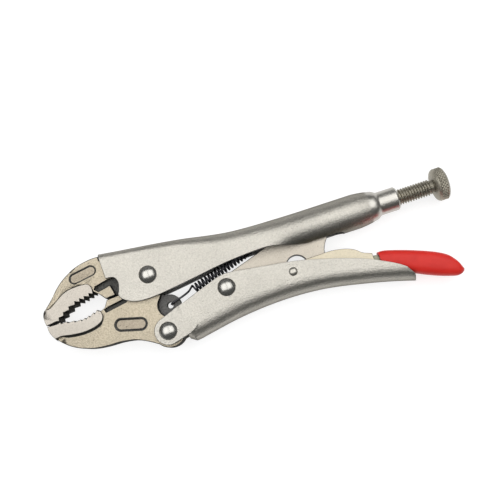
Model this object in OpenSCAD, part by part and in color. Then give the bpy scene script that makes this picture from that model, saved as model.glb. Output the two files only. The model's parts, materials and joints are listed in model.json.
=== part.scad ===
// Locking pliers with curved jaws, a wire cutter and an over-centre toggle.
// The tool lies on its side: +Z is across its thickness, X runs along the adjusting screw with
// the jaws at -X, and +Y points from the moving handle to the fixed one. Millimetres throughout.
// Outlines are drawn from the main pivot and shifted once, at the end, to the middle of the base.

/* [Sheet metal handles] */
// Thickness of the pressed steel sheet
sheet_t = 2.5; // [2:0.1:3]
// Outside width of both pressed channels
channel_w = 16.4; // [15.8:0.1:17]
// Outside diameter of the tube that the fixed handle is rolled into
tube_d = 20.5; // [19:0.1:21]
// Outside diameter of the threaded collar at the tube's end
collar_d = 13.9; // [13:0.1:15]

/* [Forged jaws] */
// Play on each side of a forging between two handle walls
side_play = 0.05; // [0.03:0.01:0.1]
// Thickness across the toothed pads
pad_t = 13.6; // [12.6:0.1:14]
// Depth of the deep teeth on the fixed jaw
upper_tooth_h = 2.1; // [1.5:0.1:2.3]
// Depth of the fine teeth on the moving jaw
lower_tooth_h = 1.3; // [0.8:0.1:1.6]
// Depth of the oval panels sunk in the jaws
panel_depth = 0.7; // [0.4:0.1:1]
// Depth of the relief grooves beside the wire cutter
groove_depth = 2.4; // [1.5:0.1:3]

/* [Rivets] */
// Radius of the three pivot rivets' shanks
rivet_r = 3.0; // [2.5:0.1:3.5]
// Radius of the pivot rivets' domed heads
head_r = 5.2; // [4.8:0.1:5.6]
// Height of the pivot rivets' domed heads
head_h = 2.4; // [2:0.1:2.6]
// Radius of the release lever's pin
pin_r = 1.6; // [1.4:0.1:1.8]
// Radius of the release lever's pin head
pin_head_r = 2.5; // [2.2:0.1:2.8]
// Radial running clearance in every pivot
pivot_play = 0.05; // [0.02:0.01:0.1]

/* [Toggle link and release lever] */
// Thickness of the toggle link plate
link_t = 5.0; // [4:0.1:5.4]
// Outside width of the folded release lever
lever_w = 10.2; // [9.6:0.1:10.6]
// Sheet thickness of the release lever
lever_sheet = 2.1; // [1.6:0.1:2.1]

/* [Adjusting screw] */
// Major diameter of the screw thread
screw_d = 9.44; // [9.3:0.01:9.52]
// Depth of the screw thread
thread_h = 0.8; // [0.5:0.05:0.9]
// Thread pitch, sixteen turns to the inch
thread_pitch = 1.5875; // [1.5875]
// Diameter of the knurled knob
knob_d = 19.4; // [17:0.1:20]
// Length of the knurled knob
knob_len = 8.2; // [7:0.1:9]

/* [Jaw spring] */
// Outside diameter of the spring coil
coil_d = 6.0; // [5:0.1:6.2]
// Diameter of the spring wire
wire_d = 1.2; // [1:0.1:1.4]
// Number of turns in the coil
coil_turns = 18; // [12:1:20]

/* [Hidden] */
$fn = 64;
// how far a cutter runs past the face it opens
EPS = 0.01;

// pivots, measured from the main pivot
main_pivot = [0, 0];
handle_pivot = [1.8, -34.5];
link_pivot = [40.9, -21.1];
lever_pivot = [79.8, -24.5];
spring_hole = [6.6, -20.3];
screw_y = -1.6;

// ends of the finished tool, which centre it over the origin
jaw_tip_x = -64.8;
collar_end_x = 151.5;
knob_x = 173.4;
knob_end_x = knob_x + knob_len;
top_y = 20.8;
grip_low_y = -55.3;
rest_z = channel_w / 2 + head_h;
origin_shift = [-(jaw_tip_x + knob_end_x) / 2, -(top_y + grip_low_y) / 2, rest_z];

// room between the handle walls, and the forging that fills it
inner_w = channel_w - 2 * sheet_t;
forging_t = inner_w - 2 * side_play;

// jaws: the hub round the main pivot, the ring round the moving handle's pivot, the spring's lug
hub_r = 9.5;
hub_gap = 0.4;
bore_r = rivet_r + pivot_play;
jaw_ring_r = 9.3;
lug_t = 5;
spring_hole_r = 1.9;

// moving handle's ears, and the rings beside the link
ear_r = 8;
spacer_r = 5.4;

// fixed handle: its tube, the slot under it, the neck and the threaded collar
tube_r = tube_d / 2;
tube_bore_r = tube_r - sheet_t;
tube_start_x = 92;
slot_end_x = 116;
slot_w = 9.4;
roof_flat = 0.3;
neck_x = 126;
collar_x = 141;
collar_bore_r = screw_d / 2 + 0.08;
screw_tip_x = 117;

// the pressed tab that holds the spring's rear hook
tab_x = 77.4;
tab_t = 2.1;
tab_w = 3.6;
tab_low_y = -0.5;
tab_top_y = 7.4;

// colours
plated = [0.80, 0.79, 0.75];
forged = [0.74, 0.71, 0.65];
dark_steel = [0.33, 0.32, 0.30];
black_wire = [0.10, 0.10, 0.11];
red_vinyl = [0.85, 0.22, 0.20];

// ---------- helpers ----------

// smooth curve through a list of points
function spline(p, n = 6) = concat(
    [for (i = [0 : len(p) - 2]) for (k = [0 : n - 1])
        let (
            t = k / n,
            a = p[max(i - 1, 0)],
            b = p[i],
            c = p[i + 1],
            d = p[min(i + 2, len(p) - 1)]
        )
        (2 * b + (c - a) * t + (2 * a - 5 * b + 4 * c - d) * t * t
            + (3 * b - a - 3 * c + d) * t * t * t) / 2],
    [p[len(p) - 1]]
);

// points of an arc about c, from angle a0 to angle a1
function arc(c, r, a0, a1, n = 12) =
    [for (i = [0 : n]) let (a = a0 + (a1 - a0) * i / n) c + r * [cos(a), sin(a)]];

function smooth(a, b, x) = let (t = min(max((x - a) / (b - a), 0), 1)) t * t * (3 - 2 * t);

function mix(a, b, t) = a + (b - a) * t;

// saw teeth along a curve of valley points, each tip leaning back over its own flank
function saw_teeth(valleys, lean, height) = [
    for (i = [0 : len(valleys) - 2])
        for (p = [valleys[i], valleys[i + 1] + [-lean, height]]) p,
    valleys[len(valleys) - 1]
];

// an extruded outline, centred across the tool's thickness
module plate(points, thickness) {
    linear_extrude(height = thickness, center = true) polygon(points);
}

// a straight through bore at a pivot
module bore(at, radius) {
    translate([at[0], at[1], 0])
        cylinder(r = radius, h = 4 * channel_w, center = true);
}

// a slot with round ends, as a cutter reaching down from both side faces
module sunk_panel(at, angle, length, width, face, depth) {
    for (side = [-1, 1])
        translate([at[0], at[1], side * face])
            rotate([0, 0, angle]) {
                cube([length - width, width, 2 * depth], center = true);
                for (end = [-1, 1])
                    translate([end * (length - width) / 2, 0, 0])
                        cylinder(d = width, h = 2 * depth, center = true);
            }
}

// a pair of grooves, one in each side face, following an outline
module side_grooves(points, face, depth) {
    for (side = [-1, 1])
        translate([0, 0, side * face])
            plate(points, 2 * depth);
}

// closed skin over equal rings of points, whose ends are strips between a ring's two halves
module skin(rings) {
    n = len(rings[0]);
    m = len(rings);
    end = (m - 1) * n;
    polyhedron(
        points = [for (ring = rings) for (p = ring) p],
        faces = concat(
            [for (j = [0 : n / 2 - 2]) [j, j + 1, n - 2 - j, n - 1 - j]],
            [for (i = [0 : m - 2]) for (j = [0 : n - 1]) let (k = (j + 1) % n)
                for (f = [
                    [i * n + j, (i + 1) * n + j, (i + 1) * n + k],
                    [i * n + j, (i + 1) * n + k, i * n + k]
                ]) f],
            [for (j = [0 : n / 2 - 2]) [end + n - 1 - j, end + n - 2 - j, end + j + 1, end + j]]
        ),
        convexity = 8
    );
}

// a rivet: a shank and two domed heads
module rivet(at, shank, head, height, reach) {
    dome_r = (head * head + height * height) / (2 * height);
    translate([at[0], at[1], 0]) {
        cylinder(r = shank, h = 2 * reach + height, center = true);
        for (side = [-1, 1])
            intersection() {
                translate([0, 0, side * (reach + height - dome_r)])
                    sphere(r = dome_r);
                translate([0, 0, side * (reach + height)])
                    cylinder(r = head + 1, h = 2 * height, center = true);
            }
    }
}

module in_frame() {
    translate(origin_shift) children();
}

// ---------- fixed handle ----------

handle_top = spline([
    [-27, 21.08], [-10, 18.8], [10, 16.4], [25, 14.4], [38, 12.1], [50, 10.3],
    [64, 9.3], [80, 8.85], [93, 8.65]
]);
handle_edge = spline([
    [-27, -13.4], [-2, -13.4], [20, -10.9], [40, -8], [52, -6.8], [64, -6.3],
    [72, -6.6], [79, -8.2], [86, -9.9], [93, -10.7]
]);

function handle_half(x, inset) = let (
    outer_w = mix(channel_w / 2, tube_r, smooth(45, tube_start_x, x)),
    w = outer_w - inset,
    r = mix(4, outer_w - roof_flat, smooth(-5, 58, x)) - inset,
    t = lookup(x, handle_top) - inset,
    curl = 63 * smooth(68, tube_start_x, x),
    low_y = lookup(x, handle_edge) + outer_w * sin(curl),
    wall = t - r - low_y,
    bend = w * curl * PI / 180
) concat(
    [for (i = [0 : 7]) let (a = 90 - 90 * i / 7) [w - r + r * cos(a), t - r + r * sin(a)]],
    [for (i = [1 : 8]) let (s = (wall + bend) * i / 8, a = -max(s - wall, 0) / w * 180 / PI)
        [w * cos(a), t - r - min(s, wall) + w * sin(a)]]
);

function handle_ring(x) = let (
    outer = handle_half(x, 0),
    inner = handle_half(x, sheet_t),
    last = len(outer) - 1
) [
    for (i = [last : -1 : 0]) [x, outer[i][1], -outer[i][0]],
    for (i = [0 : last]) [x, outer[i][1], outer[i][0]],
    for (i = [last : -1 : 0]) [x, inner[i][1], inner[i][0]],
    for (i = [0 : last]) [x, inner[i][1], -inner[i][0]]
];

handle_nose_cut = concat(
    [[-40, 30], [-24.9, 30], [-24.8, 21], [-23.9, 5.3]],
    spline([
        [-21.6, 5.2], [-19.2, 4.4], [-17.8, 2.2], [-17.7, -0.5], [-18.6, -3.6], [-19.6, -6],
        [-18.4, -8.4], [-16, -10.4], [-12.5, -12.2], [-8, -13.2], [-2, -13.4]
    ]),
    [[-2, -30], [-40, -30]]
);

// the round-ended slot that the channel leaves along the underside of the tube
tube_slot = concat(
    [[tube_start_x - EPS, -slot_w / 2]],
    arc([slot_end_x - slot_w / 2, 0], slot_w / 2, -90, 90, 14),
    [[tube_start_x - EPS, slot_w / 2]]
);

// inside the threaded collar and the tube
module handle_cavity() {
    translate([tube_start_x - 1, screw_y, 0])
        rotate([0, 90, 0])
            rotate_extrude()
                polygon(concat(
                    [[0, 0], [tube_bore_r, 0], [tube_bore_r, neck_x - tube_start_x]],
                    [[collar_bore_r, collar_x - tube_start_x]],
                    [[collar_bore_r, collar_end_x - tube_start_x + 2]],
                    [[0, collar_end_x - tube_start_x + 2]]
                ));
}

module handle_tube() {
    collar_r = collar_d / 2;
    translate([tube_start_x, screw_y, 0])
        rotate([0, 90, 0])
            rotate_extrude()
                polygon(concat(
                    [[0, 0], [tube_r + 0.05, 0]],
                    spline([
                        [tube_r + 0.05, neck_x - tube_start_x],
                        [tube_r - 0.5, neck_x + 5 - tube_start_x],
                        [(tube_r + collar_r) / 2, neck_x + 11 - tube_start_x],
                        [collar_r + 0.2, collar_x - 1.5 - tube_start_x],
                        [collar_r, collar_x - tube_start_x]
                    ], 3),
                    [[collar_r, collar_end_x - 1 - tube_start_x]],
                    [[collar_r - 1, collar_end_x - tube_start_x]],
                    [[0, collar_end_x - tube_start_x]]
                ));
}

// a tab pressed in from the roof, behind which the spring's rear hook catches
module spring_tab() {
    translate([tab_x, tab_low_y, -tab_w / 2])
        cube([tab_t, tab_top_y - tab_low_y, tab_w]);
}

module upper_handle() {
    color(plated) in_frame() {
        difference() {
            skin([for (x = [-25, -14, -5, for (i = [1 : 25]) -5 + (tube_start_x + 6) * i / 25])
                handle_ring(x)]);
            plate(handle_nose_cut, 3 * channel_w);
            bore(main_pivot, bore_r);
        }
        spring_tab();
        difference() {
            handle_tube();
            handle_cavity();
            translate([0, screw_y, 0])
                rotate([90, 0, 0])
                    linear_extrude(height = tube_d)
                        polygon(tube_slot);
        }
    }
}

// ---------- jaws ----------

upper_valleys = spline([[-58.4, -9.3], [-53, -5.6], [-45, -1.5], [-39, -0.4], [-33.4, 1.2]], 2);
lower_valleys = spline([[-58.4, -11], [-52, -12.2], [-44, -13.6], [-39, -12.9], [-33.4, -11.2]], 2);
upper_teeth = saw_teeth(upper_valleys, 0.3, -upper_tooth_h * 0.9);
lower_teeth = saw_teeth(lower_valleys, 0.5, lower_tooth_h * 0.8);

upper_back = spline([
    [-64.3, -10.1], [jaw_tip_x, -6], [-63.5, -1.7], [-58, 3.8], [-50, 11.9], [-40, 17.4],
    [-31, 19.4], [-25.2, 19.5]
]);
upper_step = spline([
    [-63.1, -1.2], [-59.5, -1], [-55, 1.8], [-50, 4.8], [-45, 6.1], [-39, 6.3], [-35, 5.6],
    [-33.6, 3.4]
]);

module upper_jaw() {
    face = forging_t / 2;
    tang_end = 10;
    body = concat(
        upper_back,
        [[-25.2, 17.1], [tang_end, 11.9], [tang_end, 5.4]],
        arc(main_pivot, hub_r + hub_gap, 33, 204, 24),
        [[-20.9, -5.0], [-27.5, -5.5], [-29.2, -3.3], [-31, -1.2], [-33, 0.6]],
        [for (i = [len(upper_teeth) - 1 : -1 : 0]) upper_teeth[i]]
    );
    pad = concat(
        [for (p = upper_back) if (p[1] < -1.3) p],
        upper_step,
        [for (i = [len(upper_teeth) - 1 : -1 : 0]) upper_teeth[i]]
    );
    color(forged) in_frame() difference() {
        union() {
            plate(body, forging_t);
            plate(pad, pad_t);
        }
        sunk_panel([-36.6, 12.1], 9, 17, 6.6, face, panel_depth);
        side_grooves([
            [-32.6, 1.6], [-31.8, 3], [-23.2, 4.9], [-17, 4.9], [-17, -6], [-21.2, -6],
            [-22.9, 1.4], [-30.6, -0.2]
        ], face, groove_depth);
    }
}

lower_belly = spline([
    [-64.1, -10.8], [-63.9, -13.5], [-62.8, -16.6], [-60, -20.4], [-55, -25], [-49, -28.4],
    [-42, -30.7], [-34, -31.7], [-26, -32], [-18, -33.4], [-11, -36.6], [-5.6, -40.0]
]);
lower_step = spline([
    [-61.6, -18.8], [-58, -18.2], [-52, -19.3], [-45, -20], [-38, -19.2], [-33.4, -17.2],
    [-31.8, -14.5], [-32.2, -11.6]
]);

module lower_jaw() {
    face = forging_t / 2;
    lug_r = 6.3;
    lug_web = concat(
        arc(spring_hole, lug_r, -75, 100, 20),
        [[2, -12], [-6, -16], [-4, -27]]
    );
    body = concat(
        lower_belly,
        arc([2.2, -34.7], jaw_ring_r, 216, 430, 30),
        arc(spring_hole, lug_r + 0.5, 232, 128, 12),
        [[6.5, -6.93]],
        arc(main_pivot, hub_r, -38, 208, 36),
        [[-19.4, -5.7], [-27.2, -6.3], [-29.6, -10.2], [-31.6, -11.2]],
        [for (i = [len(lower_teeth) - 1 : -1 : 0]) lower_teeth[i]]
    );
    pad = concat(
        [for (p = lower_belly) if (p[1] > -18.9) p],
        lower_step,
        [for (i = [len(lower_teeth) - 1 : -1 : 0]) lower_teeth[i]]
    );
    color(forged) in_frame() difference() {
        union() {
            plate(body, forging_t);
            plate(pad, pad_t);
            plate(lug_web, lug_t);
        }
        bore(main_pivot, bore_r);
        bore(handle_pivot, bore_r);
        bore(spring_hole, spring_hole_r);
        sunk_panel([-17.8, -24.1], -15, 18.6, 7.2, face, panel_depth);
        side_grooves([
            [-30.2, -11.2], [-29.6, -13], [-17, -10.9], [-14, -9], [-16, -7.6],
            [-18.4, -9.1], [-29.2, -10.9]
        ], face, groove_depth);
    }
}

// ---------- moving handle ----------

grip_edge = spline([
    [12, -22.6], [16, -21.3], [25, -18], [33, -15.3], [38, -13.8], [43, -13.2], [50, -14], [60, -15.5],
    [75, -17.7], [85, -19.4], [100, -23.3], [110, -26.3], [120, -29.8], [129.2, -34],
    [138.7, -39.3], [142.6, -42.5], [145.3, -46.9]
]);
grip_spine = spline([
    [12, -42.2], [13.5, -43.6], [16, -44.4], [25, -42.8], [40, -40.1], [55, -38.4], [70, -37.7], [85, -38.1],
    [100, -39.8], [120, -43.9], [135, -47.6], [145.3, -50.6]
]);

function channel_half(x, inset) = let (
    r = channel_w / 2 - inset,
    centre = lookup(x, grip_spine) + channel_w / 2,
    top = lookup(x, grip_edge),
    bend = r * (top >= centre ? 90 : acos((centre - top) / r)) * PI / 180,
    wall = max(top - centre, 0)
) [for (i = [0 : 10]) let (s = (bend + wall) * i / 10, a = min(s, bend) / r * 180 / PI)
    [r * sin(a), centre - r * cos(a) + max(s - bend, 0)]];

function channel_ring(x) = let (
    outer = channel_half(x, 0),
    inner = channel_half(x, sheet_t),
    last = len(outer) - 1
) [
    for (i = [last : -1 : 0]) [x, outer[i][1], outer[i][0]],
    for (i = [1 : last]) [x, outer[i][1], -outer[i][0]],
    for (i = [last : -1 : 0]) [x, inner[i][1], -inner[i][0]],
    for (i = [1 : last]) [x, inner[i][1], inner[i][0]]
];

spine_start_x = 12;

// the flat ears are a little thinner than the channel walls that they run into
module handle_ears() {
    ear_t = sheet_t - 0.1;
    ear = concat(
        arc(handle_pivot, ear_r, 110, 285, 28),
        [[9, -40.9], [13, -39.8], [17, -37.6], [20, -35.2], [20, -20.4], [16, -21.3]],
        [[8, -23.7], [2.5, -25.8]]
    );
    for (side = [-1, 1])
        translate([0, 0, side * (channel_w - sheet_t) / 2])
            plate(ear, ear_t);
}

module lower_handle() {
    end_x = 145.3;
    color(plated) in_frame() difference() {
        union() {
            handle_ears();
            skin([for (i = [0 : 40]) channel_ring(mix(spine_start_x, end_x, i / 40))]);
        }
        bore(handle_pivot, bore_r);
        bore(link_pivot, bore_r);
        bore(lever_pivot, pin_r + pivot_play);
    }
}

// ---------- toggle ----------

module toggle_link() {
    boss_r = 6.5;
    outline = concat(
        arc(link_pivot, boss_r, 112, 280, 20),
        [[60, -24.5], [74.5, -21.5]],
        arc([83.3, -21.4], 6.2, 165, 12, 14),
        [[100.4, -22.6], [100.6, -21.3]],
        spline([[101.2, -17.5], [102.8, -14], [105.4, -10.3], [106.6, -6.4]], 4),
        arc([107.1, screw_y], 4.6, -80, 80, 12),
        [[96, 3.4], [60, -8.4]]
    );
    color(plated) in_frame() difference() {
        plate(outline, link_t);
        bore(link_pivot, bore_r);
    }
}

module link_spacers() {
    thick = (inner_w - link_t) / 2 - 2 * side_play;
    color(dark_steel) in_frame()
        for (side = [-1, 1])
            translate([link_pivot[0], link_pivot[1], side * (link_t / 2 + side_play + thick / 2)])
                difference() {
                    cylinder(r = spacer_r, h = thick, center = true);
                    cylinder(r = bore_r, h = 2 * thick, center = true);
                }
}

// ---------- release lever ----------

lever_core_w = 5.4;
lever_hump = spline([
    [89, -19.6], [95, -19.6], [103, -19.5], [109, -20.2], [114, -21.5], [118, -23.5],
    [121.2, -26.2], [126.2, -28.2]
], 4);

module release_lever() {
    core_tail = [[128, -30.4], [150, -38.5], [164, -45.6], [164, -48.6], [150, -44.2], [128, -34.8]];
    side = concat(
        arc(lever_pivot, 5, 120, 270, 16),
        [[98, -28.9], [112, -31.6], [124, -35.2], [126.2, -35.4]],
        [for (i = [len(lever_hump) - 1 : -1 : 0]) lever_hump[i]],
        [[83, -20.4]]
    );
    inside = concat(
        [[70, -15], [70, -27], [lever_pivot[0] - 2, -27.2]],
        [[98, -26.7], [112, -29.4], [121, -32]],
        [[122, -20], [110, -15]]
    );
    color(plated) in_frame() difference() {
        union() {
            difference() {
                plate(side, lever_w);
                plate(inside, lever_w - 2 * lever_sheet);
            }
            plate([[124, -29.2], [129.3, -29.9], [129.3, -35.4], [124, -34.8]], lever_core_w);
            plate(core_tail, lever_core_w);
        }
        bore(lever_pivot, pin_r + pivot_play);
    }
}

grip_top = spline([
    [129.6, -28.3], [134, -28.6], [144, -31.6], [154, -35.3], [162, -38.8], [167.6, -42.3],
    [171.2, -46.7], [173, -50.5], [173.9, -52.6]
], 4);
grip_base = spline([
    [129.6, -38], [132.8, -39.7], [140.6, -43.4], [150, -48.3], [158.5, -52], [164.5, -54.1],
    [169, grip_low_y], [171.6, -55], [173.3, -54]
], 4);
grip_half_w = spline([
    [0, 5.2], [1, 5.4], [2, 5.4], [3, 5.4], [4, 5.4], [5, 5.2], [6, 4.5], [7, 3.1], [8, 1.2]
], 4);

function grip_ring(i) = let (
    centre = (grip_top[i] + grip_base[i]) / 2,
    up = (grip_top[i] - grip_base[i]) / 2,
    half = grip_half_w[i][1],
    square = 0.72
) [for (k = [0 : 23]) let (
    a = 360 * k / 24,
    u = sign(cos(a)) * pow(abs(cos(a)), square),
    v = sign(sin(a)) * pow(abs(sin(a)), square)
) [centre[0] + up[0] * u, centre[1] + up[1] * u, half * v]];

module lever_grip() {
    socket = [
        [128, -30.1], [129, -30.2], [150, -38.2], [164.5, -45.3], [164.5, -48.9],
        [150, -44.5], [129, -35.5], [128, -35]
    ];
    color(red_vinyl) in_frame() difference() {
        skin([for (i = [0 : len(grip_top) - 1]) grip_ring(i)]);
        plate(socket, lever_core_w + 0.1);
    }
}

// ---------- adjusting screw ----------

stem_r = 3.2;
stem_len = 6;

module adjusting_screw() {
    crest = screw_d / 2;
    root = crest - thread_h;
    start = screw_tip_x + 2;
    turns = floor((knob_x - 1.2 - start) / thread_pitch);
    color(dark_steel) in_frame()
        translate([0, screw_y, 0])
            rotate([0, 90, 0])
                rotate_extrude()
                    polygon(concat(
                        [[0, screw_tip_x], [root - 1, screw_tip_x], [root, start - 0.6]],
                        [for (i = [0 : turns - 1]) for (p = [
                            [root, start + i * thread_pitch],
                            [crest, start + (i + 0.42) * thread_pitch],
                            [crest, start + (i + 0.58) * thread_pitch]
                        ]) p],
                        [[root, start + turns * thread_pitch], [root, knob_x - 0.1]],
                        [[stem_r, knob_x - 0.1], [stem_r, knob_x + stem_len]],
                        [[0, knob_x + stem_len]]
                    ));
}

module adjusting_knob() {
    r = knob_d / 2;
    color(dark_steel) in_frame()
        translate([knob_x, screw_y, 0])
            rotate([0, 90, 0])
                difference() {
                    rotate_extrude()
                        polygon([
                            [0, 0], [r - 3, 0], [r - 1.3, 0.5], [r - 0.3, 1.5], [r, 2.4],
                            [r, 6], [r - 0.9, 7.2], [r - 2.4, 7.9], [r - 3.8, knob_len],
                            [0, knob_len]
                        ]);
                    translate([0, 0, -1])
                        cylinder(r = stem_r + pivot_play, h = stem_len + 1.2);
                }
}

// ---------- jaw spring ----------

spring_slope = 17;
spring_dir = [cos(spring_slope), sin(spring_slope)];
coil_start = 16.5;
coil_len = 40;
coil_r = (coil_d - wire_d) / 2;
anchor_reach = 77;

// a point along the spring: s along its axis, u across it in the plane, v out of the plane
function spring_point(s, u, v) = [
    spring_hole[0] + s * spring_dir[0] - u * spring_dir[1],
    spring_hole[1] + s * spring_dir[1] + u * spring_dir[0],
    v
];
function coil_path(steps) = [
    for (i = [0 : steps * coil_turns]) let (a = 360 * i / steps) spring_point(
        coil_start + coil_len * i / (steps * coil_turns), coil_r * cos(a), coil_r * sin(a)
    )
];
front_hook = [
    spring_point(1, 0, -3.2), spring_point(1, 0, -1), spring_point(1, 0, 2.6),
    spring_point(1.4, 0, 3.5), spring_point(2.8, 0, 4), spring_point(5, 0, 3.9),
    spring_point(9, 0, 3.2), spring_point(13, 0.6, 1.2), spring_point(15.5, 1.8, 0.2)
];
rear_hook = [
    spring_point(58, 2.2, 0.4), spring_point(61, 1.2, 1.8), spring_point(66, 0, 3),
    spring_point(anchor_reach - 1.5, 0, 3), spring_point(anchor_reach, 0, 2),
    spring_point(anchor_reach + 0.5, 0, 0), spring_point(anchor_reach, 0, -1.8)
];
spring_path = concat(front_hook, coil_path(9), rear_hook);

function unit(v) = v / norm(v);
function wire_ring(path, i, sides) = let (
    a = path[max(i - 1, 0)],
    b = path[min(i + 1, len(path) - 1)],
    along = unit(b - a),
    side = unit(cross(along, unit([spring_dir[1], -spring_dir[0], 0.35]))),
    up = cross(side, along)
) [for (k = [0 : sides - 1]) let (q = 360 * k / sides)
    path[i] + wire_d / 2 * (cos(q) * side + sin(q) * up)];

module jaw_spring() {
    color(black_wire) in_frame()
        skin([for (i = [0 : len(spring_path) - 1]) wire_ring(spring_path, i, 6)]);
}

// ---------- rivets ----------

module main_rivet() {
    color(dark_steel) in_frame() rivet(main_pivot, rivet_r, head_r, head_h, channel_w / 2);
}

module handle_rivet() {
    color(dark_steel) in_frame() rivet(handle_pivot, rivet_r, head_r, head_h, channel_w / 2);
}

module link_rivet() {
    color(dark_steel) in_frame() rivet(link_pivot, rivet_r, head_r, head_h, channel_w / 2);
}

module lever_rivet() {
    color(plated) in_frame() rivet(lever_pivot, pin_r, pin_head_r, 1, channel_w / 2);
}

upper_handle();
upper_jaw();
lower_jaw();
lower_handle();
toggle_link();
link_spacers();
release_lever();
lever_grip();
adjusting_screw();
adjusting_knob();
jaw_spring();
main_rivet();
handle_rivet();
link_rivet();
lever_rivet();
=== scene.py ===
import json
import math

import bmesh
import bpy
import numpy as np
from mathutils import Matrix, Vector


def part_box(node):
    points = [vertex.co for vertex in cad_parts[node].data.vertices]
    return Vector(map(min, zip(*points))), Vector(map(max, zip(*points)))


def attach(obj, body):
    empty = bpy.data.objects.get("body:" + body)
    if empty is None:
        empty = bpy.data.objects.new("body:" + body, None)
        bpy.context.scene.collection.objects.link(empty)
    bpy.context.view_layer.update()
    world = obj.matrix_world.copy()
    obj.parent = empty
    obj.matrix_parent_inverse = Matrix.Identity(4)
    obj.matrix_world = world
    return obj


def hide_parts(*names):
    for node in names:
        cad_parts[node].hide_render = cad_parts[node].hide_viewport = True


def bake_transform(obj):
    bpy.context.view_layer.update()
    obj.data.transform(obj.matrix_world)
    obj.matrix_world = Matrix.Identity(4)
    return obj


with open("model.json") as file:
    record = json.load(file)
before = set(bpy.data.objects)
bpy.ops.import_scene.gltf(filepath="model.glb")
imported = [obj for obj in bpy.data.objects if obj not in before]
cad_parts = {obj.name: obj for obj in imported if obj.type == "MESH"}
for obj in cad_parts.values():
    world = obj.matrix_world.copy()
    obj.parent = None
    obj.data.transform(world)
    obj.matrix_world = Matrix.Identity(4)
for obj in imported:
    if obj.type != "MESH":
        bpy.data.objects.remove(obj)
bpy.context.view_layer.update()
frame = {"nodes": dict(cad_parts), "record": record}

MM = 0.001
NODES = frame["nodes"]
RECORD = frame["record"]
BODY_OF = {n: b for b, ns in RECORD["behaviour"]["bodies"].items() for n in ns}
JOINTS = {j["name"]: j for j in RECORD["behaviour"]["joints"]}
PIVOT = Vector(JOINTS["jaw_pivot"]["pos_m"])
AXIS = Vector(JOINTS["knob_turn"]["pos_m"])


def at(x, y, z=0.0):
    """A point given in millimetres from the main pivot, in the row frame."""
    return PIVOT + Vector((x, y, z)) * MM


# ---------- materials ----------


def material(name):
    m = bpy.data.materials.new(name)
    m.use_nodes = True
    nt = m.node_tree
    return m, nt, nt.nodes["Principled BSDF"]


def node(nt, kind, **values):
    n = nt.nodes.new(kind)
    for k, v in values.items():
        if k in n.inputs:
            n.inputs[k].default_value = v
        else:
            setattr(n, k, v)
    return n


def ramp(nt, source, stops):
    n = nt.nodes.new("ShaderNodeValToRGB")
    for i, (pos, colour) in enumerate(stops):
        e = n.color_ramp.elements[i] if i < 2 else n.color_ramp.elements.new(pos)
        e.position = pos
        e.color = colour
    nt.links.new(source, n.inputs[0])
    return n


def noise(nt, coord, scale, detail, roughness):
    n = node(nt, "ShaderNodeTexNoise", Scale=scale, Detail=detail, Roughness=roughness)
    nt.links.new(coord, n.inputs["Vector"])
    return n.outputs["Fac"]


def grey(v):
    return (v, v, v, 1)


def math_node(nt, operation, a, b):
    n = nt.nodes.new("ShaderNodeMath")
    n.operation = operation
    for socket, value in zip(n.inputs, (a, b)):
        if isinstance(value, float):
            socket.default_value = value
        else:
            nt.links.new(value, socket)
    return n.outputs[0]


def multiplied(nt, colour, factor):
    n = node(nt, "ShaderNodeMix", data_type="RGBA", blend_type="MULTIPLY")
    n.inputs[0].default_value = 1.0
    nt.links.new(colour, n.inputs[6])
    nt.links.new(factor, n.inputs[7])
    return n.outputs[2]


def steel(name, colour, rough, grain, specks, drift, bump, size=1.0, graze=1.0):
    """Blasted and plated steel: a grain about a millimetre across over a finer one, sparse dark
    specks, a slow drift of tone, and a gloss that changes with the grain. A low graze makes it
    dull when seen along the surface."""
    m, nt, p = material(name)
    coord = nt.nodes.new("ShaderNodeTexCoord").outputs["Object"]
    coarse = noise(nt, coord, 1 / (1.0 * size * MM), 2, 0.5)
    fine = noise(nt, coord, 1 / (0.36 * size * MM), 3, 0.6)
    coarse = math_node(nt, "MULTIPLY", coarse, 0.6)
    both = math_node(nt, "ADD", coarse, math_node(nt, "MULTIPLY", fine, 0.4))
    low = tuple(c * (1 - grain) for c in colour)
    high = tuple(c * (1 + grain) for c in colour)
    tone = ramp(nt, both, [(0.40, (*low, 1)), (0.60, (*high, 1))]).outputs[0]
    sparse = noise(nt, coord, 1 / (1.7 * MM), 2, 0.5)
    spots = ramp(nt, sparse, [(0.27, grey(1 - specks)), (0.34, grey(1.0))])
    tone = multiplied(nt, tone, spots.outputs[0])
    slow = ramp(nt, noise(nt, coord, 40, 2, 0.5), [(0.35, grey(1 - drift)), (0.65, grey(1 + drift))])
    nt.links.new(multiplied(nt, tone, slow.outputs[0]), p.inputs["Base Color"])
    gloss = ramp(nt, both, [(0.40, grey(rough * 0.92)), (0.60, grey(rough * 1.08))])
    nt.links.new(gloss.outputs[0], p.inputs["Roughness"])
    p.inputs["Metallic"].default_value = 1.0
    p.inputs["Specular Tint"].default_value = grey(graze)
    b = node(nt, "ShaderNodeBump", Strength=bump, Distance=0.0006)
    nt.links.new(both, b.inputs["Height"])
    nt.links.new(b.outputs["Normal"], p.inputs["Normal"])
    return m


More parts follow.
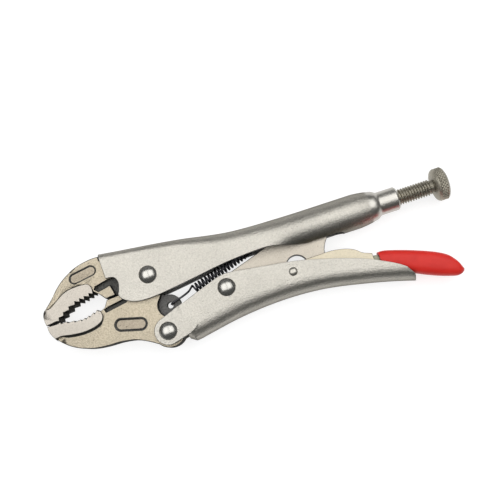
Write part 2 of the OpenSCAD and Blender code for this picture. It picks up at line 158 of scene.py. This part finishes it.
SHEET = steel("satin_sheet", (0.435, 0.415, 0.372), 0.34, 0.10, 0.22, 0.04, 0.65, graze=0.15)
# brighter tone for the rear rounded edges and the collar: partly polish from wear, partly a painted
# highlight
EDGE_POLISH_AND_HIGHLIGHT = steel("satin_edge_polish_and_painted_highlight", (0.48, 0.463, 0.425), 0.33, 0.05, 0.1, 0.03, 0.25)
# near black: sheared edges are somewhat darker, and painted shade darkens the front rounded edges
# and the walls and edges of link and lever
CUT_EDGE_AND_SHADE = steel("cut_edge_and_painted_shade", (0.075, 0.077, 0.077), 0.42, 0.22, 0.3, 0.15, 0.6)
# dark: painted shade inside the channels
CHANNEL_INSIDE_SHADE = steel("channel_inside_painted_shade", (0.15, 0.148, 0.14), 0.55, 0.12, 0.3, 0.12, 0.6)
LINK = steel("satin_link", (0.435, 0.396, 0.337), 0.42, 0.08, 0.22, 0.04, 0.5)
LEVER = steel("satin_lever", (0.49, 0.44, 0.337), 0.42, 0.06, 0.15, 0.04, 0.4)
LEVER_NECK = steel("lever_neck", (0.25, 0.25, 0.19), 0.45, 0.12, 0.25, 0.08, 0.4)
JAW_PAD = steel("ground_pad", (0.415, 0.382, 0.336), 0.40, 0.07, 0.2, 0.05, 0.45)
JAW_BODY = steel("forged_face", (0.45, 0.395, 0.302), 0.44, 0.13, 0.4, 0.06, 0.75)
JAW_PANEL = steel("forged_panel", (0.39, 0.337, 0.262), 0.47, 0.14, 0.35, 0.06, 0.8)
# near black: painted shade on the walls, grooves and rounded edges of the jaws
JAW_WALL_SHADE = steel("forged_wall_painted_shade", (0.08, 0.079, 0.073), 0.50, 0.30, 0.4, 0.2, 0.8, graze=0.3)
# near black: painted shade on the recessed lug
JAW_LUG_SHADE = steel("forged_lug_painted_shade", (0.085, 0.083, 0.08), 0.45, 0.2, 0.3, 0.1, 0.6)
RIVET = steel("rivet_steel", (0.47, 0.457, 0.425), 0.27, 0.04, 0.15, 0.04, 0.04)
PIN = steel("pin_steel", (0.44, 0.42, 0.375), 0.32, 0.05, 0.1, 0.04, 0.08)
SCREW = steel("screw_steel", (0.35, 0.325, 0.266), 0.45, 0.16, 0.35, 0.1, 0.5, 0.7)
WIRE = steel("black_wire", (0.06, 0.06, 0.068), 0.34, 0.15, 0.2, 0.1, 0.2, 0.5)


def vinyl():
    """Dipped vinyl: slightly mottled red with a fine skin."""
    m, nt, p = material("red_vinyl")
    coord = nt.nodes.new("ShaderNodeTexCoord").outputs["Object"]
    cloud = noise(nt, coord, 120, 3, 0.5)
    skin = noise(nt, coord, 1 / (0.8 * MM), 3, 0.6)
    colour = ramp(nt, cloud, [(0.3, (0.63, 0.020, 0.014, 1)), (0.7, (0.71, 0.028, 0.019, 1))])
    nt.links.new(colour.outputs[0], p.inputs["Base Color"])
    gloss = ramp(nt, skin, [(0.35, grey(0.40)), (0.65, grey(0.52))])
    nt.links.new(gloss.outputs[0], p.inputs["Roughness"])
    p.inputs["Specular IOR Level"].default_value = 0.3
    p.inputs["Subsurface Weight"].default_value = 0.08
    p.inputs["Subsurface Scale"].default_value = 0.002
    b = node(nt, "ShaderNodeBump", Strength=0.2, Distance=0.00006)
    nt.links.new(skin, b.inputs["Height"])
    nt.links.new(b.outputs["Normal"], p.inputs["Normal"])
    return m


VINYL = vinyl()

# ---------- mesh helpers ----------

WELD = 2e-6  # what is nearer than this in a CAD mesh, in metres, is one point
SEAM = 1e-7  # the same in a mesh made here
FLAT = math.radians(0.35)  # faces that differ by less are one flat area
SHARP = math.radians(28)  # edges sharper than this are rounded
FOLDED = 3.0  # radians between two faces that lie back on each other
FOLD_REACH = 1.2 * MM  # how far from a fold the rounding is made smaller
TRIES, HALVINGS = 7, 4


def make(name, verts, faces, mats):
    """A smooth-shaded mesh object in the scene."""
    me = bpy.data.meshes.new(name)
    me.from_pydata([tuple(v) for v in verts], [], faces)
    me.validate()
    ob = bpy.data.objects.new(name, me)
    bpy.context.scene.collection.objects.link(ob)
    for m in mats:
        me.materials.append(m)
    me.polygons.foreach_set("use_smooth", [True] * len(me.polygons))
    return ob


def tidy(me):
    """Joins the faces of a CAD mesh again, and makes one face of each flat area."""
    bm = bmesh.new()
    bm.from_mesh(me)
    bmesh.ops.remove_doubles(bm, verts=bm.verts, dist=WELD)
    bmesh.ops.dissolve_limit(
        bm, angle_limit=FLAT, verts=bm.verts, edges=bm.edges, delimit=set()
    )
    bmesh.ops.recalc_face_normals(bm, faces=bm.faces)
    bm.to_mesh(me)
    bm.free()


def from_cad(node_name, name, mats):
    """A new object with the CAD node's own shape, ready to be refined."""
    me = NODES[node_name].data.copy()
    me.name = name
    for a in ("custom_normal", "sharp_edge", "sharp_face"):
        if a in me.attributes:
            me.attributes.remove(me.attributes[a])
    tidy(me)
    me.materials.clear()
    for m in mats:
        me.materials.append(m)
    me.polygons.foreach_set("material_index", [0] * len(me.polygons))
    me.polygons.foreach_set("use_smooth", [True] * len(me.polygons))
    ob = bpy.data.objects.new(name, me)
    bpy.context.scene.collection.objects.link(ob)
    return ob


def rounded_off(ob, width):
    """Rounds the sharp edges of a CAD shape, by width(the edge's middle, the edge) in millimetres.
    Where there is too little room for a width, so that faces fold over, it is made smaller."""
    bm = bmesh.new()
    bm.from_mesh(ob.data)
    layer = bm.edges.layers.float.new("bevel_weight_edge")
    for e in bm.edges:
        if len(e.link_faces) == 2 and e.calc_face_angle(0) > SHARP:
            middle = (e.verts[0].co + e.verts[1].co) / 2
            e[layer] = width((middle - PIVOT) / MM, e)
    b = ob.modifiers.new("edges", "BEVEL")
    b.width = MM
    b.segments = 2
    b.limit_method = "WEIGHT"
    b.use_clamp_overlap = False
    b.material = len(ob.data.materials) - 1
    b.miter_outer = "MITER_SHARP"
    # a many-sided face that crosses itself within its own plane only shows once it is cut up
    t = ob.modifiers.new("triangles", "TRIANGULATE")
    t.min_vertices = 5
    for attempt in range(TRIES):
        bm.to_mesh(ob.data)
        folds = folded_places(ob, bm)
        if not folds:
            break
        for e in bm.edges:
            if e[layer] > 0 and near_any(e, folds, FOLD_REACH):
                e[layer] = e[layer] * 0.5 if attempt < HALVINGS else 0
    bm.free()
    ob.modifiers.remove(t)


def folded_places(ob, source):
    """Where the rounded shape folds over, or comes out of the box of the shape it is made from."""
    slack = 0.01 * MM
    low = [min(v.co[i] for v in source.verts) - slack for i in range(3)]
    high = [max(v.co[i] for v in source.verts) + slack for i in range(3)]
    bpy.context.view_layer.update()
    made = bmesh.new()
    made.from_object(ob, bpy.context.evaluated_depsgraph_get())
    places = [
        (e.verts[0].co + e.verts[1].co) / 2 for e in made.edges
        if len(e.link_faces) == 2 and e.calc_face_angle(0) > FOLDED
    ]
    places += [
        v.co.copy() for v in made.verts
        if any(not low[i] < v.co[i] < high[i] for i in range(3))
    ]
    made.free()
    return places


def near_any(e, places, reach):
    """Whether the edge passes within reach of one of the places."""
    a, b = e.verts[0].co, e.verts[1].co
    span = b - a
    for p in places:
        t = min(1.0, max(0.0, (p - a).dot(span) / span.length_squared))
        if (a + span * t - p).length < reach:
            return True
    return False


def applied(ob):
    """The object's mesh with its modifiers applied, which it has from now on."""
    depsgraph = bpy.context.evaluated_depsgraph_get()
    me = bpy.data.meshes.new_from_object(ob.evaluated_get(depsgraph))
    me.name = ob.name
    ob.modifiers.clear()
    ob.data = me
    return me


def finished(ob, finish):
    """Applies the rounding, cuts up the many-sided faces and clears what is too thin to be a face,
    evens the shading, then gives each face the finish of the place where it lies."""
    rounded = len(ob.data.materials) - 1
    me = applied(ob)
    bm = bmesh.new()
    bm.from_mesh(me)
    bmesh.ops.triangulate(bm, faces=[f for f in bm.faces if len(f.verts) > 4])
    bmesh.ops.remove_doubles(bm, verts=bm.verts, dist=WELD)
    bmesh.ops.dissolve_degenerate(bm, dist=WELD, edges=bm.edges)
    # now and then the cleaning opens a mesh, which is then left as it was
    if all(len(e.link_faces) == 2 for e in bm.edges):
        bm.to_mesh(me)
    bm.free()
    n = ob.modifiers.new("normals", "WEIGHTED_NORMAL")
    n.keep_sharp = True
    n.weight = 80
    for f in applied(ob).polygons:
        place = (f.center - PIVOT) / MM
        f.material_index = finish(place, f.normal, f.material_index == rounded)


def stand_for(ob, *nodes):
    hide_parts(*nodes)
    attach(ob, BODY_OF[nodes[0]])


def closed_up(ob):
    """Joins the seams of a made mesh, and turns its faces outwards."""
    bm = bmesh.new()
    bm.from_mesh(ob.data)
    bmesh.ops.remove_doubles(bm, verts=bm.verts, dist=SEAM)
    bmesh.ops.recalc_face_normals(bm, faces=bm.faces)
    if bm.calc_volume(signed=True) < 0:
        bmesh.ops.reverse_faces(bm, faces=bm.faces)
    bm.to_mesh(ob.data)
    bm.free()


def revolve(name, profile, origin, axis, mats, steps):
    """A turned piece: (along, radius) pairs in millimetres about an axis through origin. The
    profile starts and ends on the axis, so that the piece is closed."""
    axis = Vector(axis).normalized()
    side = Vector((0, 0, 1)) if abs(axis.z) < 0.9 else Vector((1, 0, 0))
    u = side.cross(axis).normalized()
    v = axis.cross(u)
    verts, faces = [], []
    n = len(profile)
    for k in range(steps):
        a = 2 * math.pi * k / steps
        d = u * math.cos(a) + v * math.sin(a)
        for s, r in profile:
            verts.append(origin + axis * s * MM + d * r * MM)
    for k in range(steps):
        j = (k + 1) % steps
        for i in range(n - 1):
            faces.append((k * n + i, j * n + i, j * n + i + 1, k * n + i + 1))
    ob = make(name, verts, faces, mats)
    closed_up(ob)
    return ob


def smooth_by_angle(ob, degrees):
    """Keeps edges sharper than this crisp, and shades the others smooth."""
    me = ob.data
    bm = bmesh.new()
    bm.from_mesh(me)
    limit = math.radians(degrees)
    for e in bm.edges:
        e.smooth = len(e.link_faces) == 2 and e.calc_face_angle(0) < limit
    bm.to_mesh(me)
    bm.free()


# ---------- handles, jaws, link and lever: the CAD shapes with worked edges ----------

# half thicknesses of the jaws in millimetres: the forged body, and the floor of a panel in it
BODY_LEVEL, PANEL_LEVEL = 5.65, 4.95
NEAR_LEVEL = 0.25
# a face above the first number lies on a pad, above the second on the body, and so on
PAD_FACES, BODY_FACES, PANEL_FACES, GROOVE_FACES = 6.3, 5.2, 4.4, 2.8
UPRIGHT = 0.5  # the most that a wall's normal has along Z
SLOPING = 0.85  # the same, for a wall that slopes


def is_step(e):
    """The short wall between a toothed pad and the body of its jaw stands under this edge."""
    for f in e.link_faces:
        heights = [(v.co.z - PIVOT.z) / MM for v in f.verts]
        low, high = min(heights), max(heights)
        one_side = low * high > 0 and min(abs(low), abs(high)) > BODY_LEVEL - NEAR_LEVEL
        if abs(f.normal.z) < UPRIGHT and one_side:
            return True
    return False


# where the step round each pad runs out, in millimetres from the main pivot
STEP_ENDS = {
    "fixed_jaw_forging": [(-63.1, -1.2), (-33.6, 3.4)],
    "moving_jaw_forging": [(-61.6, -18.8), (-32.2, -11.6)],
}
# how far the foot of a wall is drawn out, in millimetres
STEP_SLOPE = {"fixed_jaw_forging": 0.6, "moving_jaw_forging": 1.0}
PANEL_SLOPE = 0.9


def clear_of_ends(name, p):
    """0 where a step runs out into an outline, rising to 1 a few millimetres away."""
    nearest = min(math.hypot(p.x - x, p.y - y) for x, y in STEP_ENDS[name])
    return min(1.0, max(0.0, (nearest - 1.5) / 6))


def slope_steps(ob):
    """Draws the foot of the short walls out, so that they slope: those that fall from a toothed
    pad to the body, and those that fall from the body into a panel."""
    bm = bmesh.new()
    bm.from_mesh(ob.data)
    moves = []
    for v in bm.verts:
        level = abs(v.co.z - PIVOT.z) / MM
        walls = [f for f in v.link_faces if abs(f.normal.z) < UPRIGHT]
        on_body = abs(level - BODY_LEVEL) < NEAR_LEVEL
        if not walls or not on_body and abs(level - PANEL_LEVEL) > NEAR_LEVEL:
            continue
        foot = (BODY_LEVEL if on_body else PANEL_LEVEL) - NEAR_LEVEL
        side = math.copysign(1, v.co.z - PIVOT.z)
        if all(side * (w.co.z - PIVOT.z) / MM > foot for f in walls for w in f.verts):
            out = sum((f.normal for f in walls), Vector()).normalized()
            reach = PANEL_SLOPE
            if on_body:
                reach = STEP_SLOPE[ob.name] * clear_of_ends(ob.name, (v.co - PIVOT) / MM)
            moves.append((v, Vector((out.x, out.y, 0)) * reach * MM))
    for v, move in moves:
        v.co += move
    bm.to_mesh(ob.data)
    bm.free()


def jaw_edges(name):
    """Crisp corners, teeth and pads, and softer outlines away from where a step runs out."""
    def width(p, e):
        upright = abs(e.verts[0].co.z - e.verts[1].co.z) > 0.3 * MM
        room = clear_of_ends(name, p)
        if upright:
            return 0.12
        if is_step(e):
            return 0.15 if abs(p.z) > PAD_FACES else 0
        if abs(p.z) < 5.3:
            return 0.15
        mouth = -60 < p.x < -31 and -15.5 < p.y < 2
        if mouth or abs(p.z) > PAD_FACES:
            return 0.2
        return 0.15 + 0.3 * room
    return width


def jaw_finish(p, n, rounded):
    """0 pad, 1 forged body, 2 panel, 3 lug in painted shade, 4 walls, grooves and rounded edges in
    painted shade.
    """
    if rounded or abs(n.z) < SLOPING:
        return 4
    for finish, lowest in ((0, PAD_FACES), (1, BODY_FACES), (2, PANEL_FACES), (4, GROOVE_FACES)):
        if abs(p.z) > lowest:
            return finish
    return 3


def along_axis(xs, ys):
    return lambda x: float(np.interp(x, xs, ys))


# places along the tool, in millimetres from the main pivot
CHEEKS_END, ROLLED_START, SLOT_END, COLLAR_START = 82, 95, 118, 133.5
WEB_FRONT, BRIGHT_RIM_START, RIM_END = 12, 45, 142
LEVER_NECK_START = 126.5
CHEEK_Z = 5.2  # the cheeks of the channels lie further out than this
EDGE_ON = 0.7  # the least that the normal of a cheek's cut edge has along Y
SHEET_ROUNDING = 0.25

# the middle of each channel, as Y over X in millimetres: walls that face it are inside
FIXED_MIDDLE = along_axis([-25, 0, 40, 92], [3.6, 2.3, 1.9, -1.0])
MOVING_MIDDLE = along_axis([12, 25, 55, 85, 120, 147], [-34.4, -34.6, -30.2, -29.9, -35.7, -42.9])


def fixed_handle_finish(p, n, rounded):
    """0 sheet, 1 burnished edge with a painted highlight, 2 cut edge darkened by painted shade, 3
    painted shade inside the channel.
    """
    if rounded:
        return 1 if p.x > ROLLED_START else 2
    if p.x < CHEEKS_END and n.y < -EDGE_ON and abs(p.z) > CHEEK_Z:
        return 2
    inward = (p.y - FIXED_MIDDLE(p.x)) * n.y + p.z * n.z < 0
    return 3 if inward and p.x < SLOT_END else 1 if p.x > COLLAR_START else 0


def moving_handle_finish(p, n, rounded):
    """The same finishes as on the fixed handle."""
    if rounded:
        return 1 if p.x > BRIGHT_RIM_START else 2
    if n.y > EDGE_ON and abs(p.z) > CHEEK_Z:
        return 2
    inward = (p.y - MOVING_MIDDLE(p.x)) * n.y + p.z * n.z < 0
    return 3 if inward else 0


def plain_edges(width):
    """Every sharp edge but those of a sliver, where one sheet runs into another."""
    def plain(_, e):
        sliver = min(f.calc_area() for f in e.link_faces) / e.calc_length() < 0.25 * MM
        return 0 if sliver else width
    return plain


def fixed_handle_edges(p, e):
    """All but the seam where the rolled channel becomes a full tube, and the end of its slot."""
    across = abs(e.verts[0].co.x - e.verts[1].co.x) < 0.05 * MM
    slot_end = SLOT_END - 3 < p.x < SLOT_END + 5 and p.y < -8
    return 0 if slot_end or across and 85 < p.x < 135 else plain_edges(SHEET_ROUNDING)(p, e)


def moving_handle_edges(p, e):
    """The rim runs out to nothing at the rear end, and the web's front end meets the cheeks in a
    small step: both are left as they are."""
    return 0 if p.x > RIM_END or abs(p.x - WEB_FRONT) < 0.3 else plain_edges(SHEET_ROUNDING)(p, e)


# fills the last slot while a shape is worked on, to tell the rounded faces from the others
ROUNDED = EDGE_POLISH_AND_HIGHLIGHT.copy()
for node_name, name, mats, edges, finish in (
    ("upper_handle", "fixed_handle_shell", [SHEET, EDGE_POLISH_AND_HIGHLIGHT, CUT_EDGE_AND_SHADE, CHANNEL_INSIDE_SHADE],
     fixed_handle_edges, fixed_handle_finish),
    ("lower_handle", "moving_handle_shell", [SHEET, EDGE_POLISH_AND_HIGHLIGHT, CUT_EDGE_AND_SHADE, CHANNEL_INSIDE_SHADE],
     moving_handle_edges, moving_handle_finish),
    ("upper_jaw", "fixed_jaw_forging", [JAW_PAD, JAW_BODY, JAW_PANEL, JAW_LUG_SHADE, JAW_WALL_SHADE],
     jaw_edges("fixed_jaw_forging"), jaw_finish),
    ("lower_jaw", "moving_jaw_forging", [JAW_PAD, JAW_BODY, JAW_PANEL, JAW_LUG_SHADE, JAW_WALL_SHADE],
     jaw_edges("moving_jaw_forging"), jaw_finish),
    # the link's walls and rounded edges, and the lever's rounded edges, take the near-black tone of
    # painted shade
    ("toggle_link", "link_plate", [LINK, CUT_EDGE_AND_SHADE],
     plain_edges(0.35), lambda p, n, rounded: 1 if rounded or abs(n.z) < 0.85 else 0),
    ("release_lever", "lever_stamping", [LEVER, LEVER_NECK, CUT_EDGE_AND_SHADE],
     plain_edges(0.25), lambda p, n, rounded: 1 if p.x > LEVER_NECK_START else 2 if rounded else 0),
    ("link_spacers", "spacer_rings", [RIVET], plain_edges(0.15), lambda p, n, rounded: 0),
):
    ob = from_cad(node_name, name, [*mats, ROUNDED])
    if "jaw" in node_name:
        slope_steps(ob)
    rounded_off(ob, edges)
    finished(ob, finish)
    ob.data.materials.pop()
    stand_for(ob, node_name)

# ---------- vinyl grip ----------

grip = from_cad("lever_grip", "vinyl_grip", [VINYL])
smooth_by_angle(grip, 60)
stand_for(grip, "lever_grip")

# ---------- rivets ----------


def rivet(node_name, name, mat, shank, head, height):
    """Domed heads on both sides of a shank, each dome rolled over at its rim."""
    rim, relief, rings = 0.08, 0.12, 14
    low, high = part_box(node_name)
    centre = (low + high) / 2
    half = (high.z - low.z) / 2 / MM
    seat = half - height
    dome_r = (head**2 + (height - rim) ** 2) / (2 * (height - rim))
    top = []
    for i in range(rings + 1):
        r = head * (1 - i / rings)
        top.append((half - dome_r + math.sqrt(max(dome_r**2 - r**2, 0)), r))
    upper = [(seat, shank), (seat, head - relief), (seat + relief, head), *top]
    profile = [(-s, r) for s, r in reversed(upper)] + upper
    ob = revolve(name, profile, centre, (0, 0, 1), [mat], 64)
    smooth_by_angle(ob, 40)
    stand_for(ob, node_name)


rivet("main_rivet", "main_rivet_domes", RIVET, 3.0, 5.2, 2.4)
rivet("handle_rivet", "handle_rivet_domes", RIVET, 3.0, 5.2, 2.4)
rivet("link_rivet", "link_rivet_domes", RIVET, 3.0, 5.2, 2.4)
rivet("lever_rivet", "lever_pin_domes", PIN, 1.6, 2.5, 1.0)

# ---------- adjusting screw: a real helical thread ----------


def screw():
    low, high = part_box("adjusting_screw")
    crest = (high.y - low.y) / 2 / MM
    depth, pitch, steps = 0.95, 1.5875, 32
    root = crest - depth
    length = (high.x - low.x) / MM
    start, stop = 2.0, length - 6.0 - 0.6
    turns = int((stop - start) / pitch)
    # one turn of the ridge: its two feet sunk in the core, and its crest
    section = [(0.04, -0.25), (0.44, 1.0), (0.56, 1.0), (0.96, -0.25)]
    verts, faces = [], []
    m = len(section)
    count = turns * steps
    for i in range(count + 1):
        a = 2 * math.pi * i / steps
        fade = 0.15 + 0.85 * min(1, i / steps, (count - i) / steps)
        for s, h in section:
            x = start + pitch * (i / steps + s)
            r = root + depth * (h * fade if h > 0 else h)
            verts.append((x, r * math.cos(a), r * math.sin(a)))
    for i in range(count):
        for j in range(m):
            k = (j + 1) % m
            faces.append((i * m + j, (i + 1) * m + j, (i + 1) * m + k, i * m + k))
    faces += [list(range(m)), [count * m + j for j in reversed(range(m))]]
    thread = make(
        "screw_thread",
        [Vector((low.x, AXIS.y, AXIS.z)) + Vector(v) * MM for v in verts],
        faces,
        [SCREW],
    )
    closed_up(thread)
    smooth_by_angle(thread, 35)
    core = revolve(
        "screw_core",
        [(0, 0), (0, root - 1), (1.4, root + 0.02), (length - 6.1, root + 0.02),
         (length - 6.1, 3.2), (length, 3.2), (length, 0)],
        Vector((low.x, AXIS.y, AXIS.z)), (1, 0, 0), [SCREW], 48,
    )
    smooth_by_angle(core, 35)
    stand_for(core, "adjusting_screw")
    stand_for(thread, "adjusting_screw")


screw()

# ---------- knurled knob ----------


def knob():
    low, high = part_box("adjusting_knob")
    radius = (high.y - low.y) / 2 / MM
    length = (high.x - low.x) / MM
    around, diamonds, depth = 272, 34, 0.42
    band = (2.3, 6.2)
    rows = 30
    bore, bore_depth = 3.25, 6.2
    profile = [(bore_depth, 0), (bore_depth, bore), (0.0, bore), (0.0, radius - 3.1),
               (0.2, radius - 2.1), (0.6, radius - 1.2), (1.2, radius - 0.55), (1.9, radius - 0.2)]
    profile += [(band[0] + (band[1] - band[0]) * i / rows, radius) for i in range(rows + 1)]
    profile += [(6.7, radius - 0.45), (7.2, radius - 0.95), (7.8, radius - 2.2),
                (length, radius - 3.8), (length, 0)]
    verts, faces = [], []
    n = len(profile)
    for k in range(around):
        a = 2 * math.pi * k / around
        for s, r in profile:
            if r == radius:
                turn = diamonds * k / around
                along = (s - band[0]) / (2 * math.pi * radius / diamonds)
                p = abs(((turn + along) % 1) - 0.5) * 2
                q = abs(((turn - along) % 1) - 0.5) * 2
                edge = min(1, (s - band[0]) / 0.4, (band[1] - s) / 0.4)
                r = radius - depth * (1 - min(p, q)) * max(edge, 0.0)
            verts.append((s, r * math.cos(a), r * math.sin(a)))
    for k in range(around):
        j = (k + 1) % around
        for i in range(n - 1):
            faces.append((k * n + i, k * n + i + 1, j * n + i + 1, j * n + i))
    origin = Vector((low.x, AXIS.y, AXIS.z))
    ob = make("knurled_knob", [origin + Vector(v) * MM for v in verts], faces, [SCREW])
    closed_up(ob)
    smooth_by_angle(ob, 24)
    stand_for(ob, "adjusting_knob")


knob()

# ---------- jaw spring: one wire, hooked at both ends ----------


def spring():
    slope = math.radians(17)
    along = Vector((math.cos(slope), math.sin(slope), 0))
    across = Vector((-math.sin(slope), math.cos(slope), 0))
    hole = at(6.6, -20.3)

    def point(s, u, v):
        return hole + (along * s + across * u + Vector((0, 0, v))) * MM

    turns, steps, coil_radius, coil_start, coil_length = 18, 20, 2.4, 16.5, 40
    front = [point(*p) for p in (
        (1, 0, -3.2), (1, 0, -1), (1, 0, 2.6), (1.4, 0, 3.5), (2.8, 0, 4), (5, 0, 3.9),
        (9, 0, 3.2), (13, 0.6, 1.2), (15.5, 1.8, 0.2))]
    coil = [
        point(coil_start + coil_length * i / (steps * turns),
              coil_radius * math.cos(2 * math.pi * i / steps),
              coil_radius * math.sin(2 * math.pi * i / steps))
        for i in range(steps * turns + 1)
    ]
    rear = [point(*p) for p in (
        (58, 2.2, 0.4), (61, 1.2, 1.8), (66, 0, 3), (75.5, 0, 3), (77, 0, 2), (77.5, 0, 0),
        (77, 0, -1.8))]

    def rounded(points, n=4):
        """A smooth curve through the points, n pieces from each to the next."""
        out = []
        for i in range(len(points) - 1):
            a, b = points[max(i - 1, 0)], points[i]
            c, d = points[i + 1], points[min(i + 2, len(points) - 1)]
            for k in range(n):
                t = k / n
                out.append((2 * b + (c - a) * t + (2 * a - 5 * b + 4 * c - d) * t * t
                            + (3 * b - a - 3 * c + d) * t**3) / 2)
        return out + [points[-1]]

    path = rounded(front + [coil[0]])[:-1] + coil + rounded([coil[-1]] + rear)[1:]
    sides, radius = 10, 0.6
    verts, faces = [], []
    # the hook starts along Z, so the rings are carried on from a direction square to that
    up = across
    for i, p in enumerate(path):
        t = (path[min(i + 1, len(path) - 1)] - path[max(i - 1, 0)]).normalized()
        side = (up - t * up.dot(t)).normalized()
        up = side
        other = t.cross(side)
        for k in range(sides):
            a = 2 * math.pi * k / sides
            verts.append(p + (side * math.cos(a) + other * math.sin(a)) * radius * MM)
    for i in range(len(path) - 1):
        for k in range(sides):
            j = (k + 1) % sides
            a, b = i * sides, (i + 1) * sides
            faces.append((a + k, a + j, b + j, b + k))
    faces.append(list(reversed(range(sides))))
    faces.append([len(verts) - sides + k for k in range(sides)])
    ob = make("spring_wire", verts, faces, [WIRE])
    closed_up(ob)
    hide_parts("jaw_spring")
    start, end = tuple(point(5, 0, 0)), tuple(point(66, 0, 0))
    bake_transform(ob)
    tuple(start)
    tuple(end)


spring()

# ---------- studio ----------


def studio():
    # a white table, lit from within as product tables are
    size = 3.0
    corners = [(-size, -size, 0), (size, -size, 0), (size, size, 0), (-size, size, 0)]
    floor = make("floor", corners, [(0, 1, 2, 3)], [])
    m, nt, p = material("white_table")
    coord = nt.nodes.new("ShaderNodeTexCoord").outputs["Object"]
    tone = ramp(nt, noise(nt, coord, 6, 2, 0.5), [(0.3, grey(0.35)), (0.7, grey(0.37))])
    nt.links.new(tone.outputs[0], p.inputs["Base Color"])
    p.inputs["Roughness"].default_value = 0.8
    p.inputs["Specular IOR Level"].default_value = 0.1
    p.inputs["Emission Color"].default_value = (1, 1, 1, 1)
    reach = node(nt, "ShaderNodeVectorMath", operation="LENGTH")
    nt.links.new(coord, reach.inputs[0])
    glow = ramp(nt, reach.outputs["Value"], [(0.24, grey(0.76)), (0.55, grey(0.16))])
    nt.links.new(glow.outputs[0], p.inputs["Emission Strength"])
    floor.data.materials.append(m)
    floor.location.z = -0.2 * MM

    def panel(name, centre, size, power, target=(0, 0, 0)):
        light = bpy.data.lights.new(name, "AREA")
        light.shape = "RECTANGLE"
        light.size, light.size_y = size
        light.energy = power
        ob = bpy.data.objects.new(name, light)
        ob.location = centre
        ob.rotation_mode = "QUATERNION"
        ob.rotation_quaternion = (Vector(centre) - Vector(target)).to_track_quat("Z", "Y")
        bpy.context.scene.collection.objects.link(ob)

    panel("overhead_left", (-0.68, 0.34, 1.05), (1.28, 1.44), 11.9, (-0.68, 0.34, 0))
    panel("overhead_right", (0.68, 0.34, 1.05), (1.28, 1.44), 11.9, (0.68, 0.34, 0))
    panel("side_fill", (0, 1.9, 0.55), (2.6, 0.8), 0.8)

    world = bpy.data.worlds.new("studio")
    bpy.context.scene.world = world
    world.use_nodes = True
    bg = world.node_tree.nodes["Background"]
    bg.inputs["Color"].default_value = (0.30, 0.31, 0.31, 1)
    bg.inputs["Strength"].default_value = 0.36


studio()


def camera():
    """Nearly straight down on the tool, leaning a little towards the moving handle and the knob."""
    turn, lean_low, lean_knob = (math.radians(v) for v in (18.3, 8.0, 2.5))
    aim, distance = at(60.2, -4.6, 5.4), 0.443
    cam = bpy.data.cameras.new("camera")
    cam.sensor_width = 36
    cam.lens = 55.3
    cam.clip_start, cam.clip_end = 0.05, 20
    ob = bpy.data.objects.new("camera", cam)
    along = Vector((math.cos(turn), -math.sin(turn), 0))
    across = Vector((math.sin(turn), math.cos(turn), 0))
    z = Vector((0, 0, 1))
    leant = z * math.cos(lean_low) - across * math.sin(lean_low)
    up = across * math.cos(lean_low) + z * math.sin(lean_low)
    back = leant * math.cos(lean_knob) + along * math.sin(lean_knob)
    right = along * math.cos(lean_knob) - leant * math.sin(lean_knob)
    place = aim + back * distance
    ob.matrix_world = Matrix((
        (right.x, up.x, back.x, place.x),
        (right.y, up.y, back.y, place.y),
        (right.z, up.z, back.z, place.z),
        (0, 0, 0, 1),
    ))
    bpy.context.scene.collection.objects.link(ob)
    bpy.context.scene.camera = ob


camera()

scene = bpy.context.scene
scene.view_settings.view_transform = "Standard"
scene.view_settings.look = "None"
